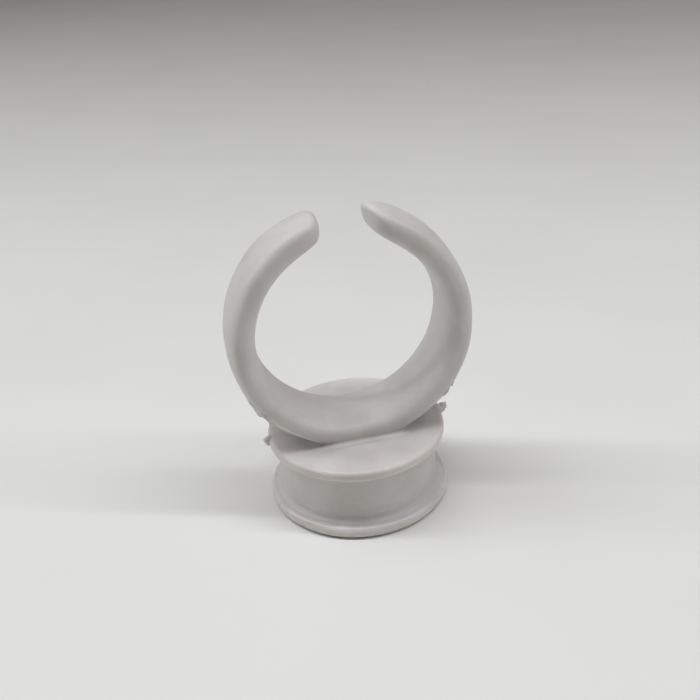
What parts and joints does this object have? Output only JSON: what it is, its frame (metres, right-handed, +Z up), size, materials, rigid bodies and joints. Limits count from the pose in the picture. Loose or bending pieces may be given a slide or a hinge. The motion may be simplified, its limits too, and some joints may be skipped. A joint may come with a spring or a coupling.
{
  "type": "finger ring cup",
  "caption": "Small round cup with an open, springy finger ring on its closed floor, standing on its mouth; the ring's arms flex apart to grip a finger or a rod.",
  "frame": {"origin": "centre of the underside of the cup's mouth rim, the face it stands on", "axes": "+Z up, from the mouth through the closed floor to the open side of the ring; Y along the ring's axis, the way a finger goes through; the ring's arms are on -X (left) and +X (right)"},
  "size_m": [0.0222, 0.0172, 0.0281],
  "materials": {
    "white_moulding": "white polypropylene, moulded, satin",
    "torn_edge": "white polypropylene, torn and rough"
  },
  "bodies": {
    "root": {"mouth_rim": "white_moulding", "cup_wall": "white_moulding", "cup_floor": "white_moulding", "ring_saddle": "white_moulding", "left_gate_stub": "torn_edge", "right_gate_stub": "torn_edge"},
    "left_arm_body": {"left_arm": "white_moulding", "left_tip": "white_moulding", "left_flash": "torn_edge"},
    "right_arm_body": {"right_arm": "white_moulding", "right_tip": "white_moulding", "right_flash": "torn_edge"}
  },
  "joints": [
    {"name": "left_arm_flex", "type": "hinge", "parent": "root", "child": "left_arm_body", "pos_m": [-0.00693, 0, 0.01047], "axis": [0, -1, 0], "range_deg": [-5, 12], "stiffness_Nm_per_rad": 0.8},
    {"name": "right_arm_flex", "type": "hinge", "parent": "root", "child": "right_arm_body", "pos_m": [0.00693, 0, 0.01047], "axis": [0, 1, 0], "range_deg": [-5, 12], "stiffness_Nm_per_rad": 0.8}
  ]
}
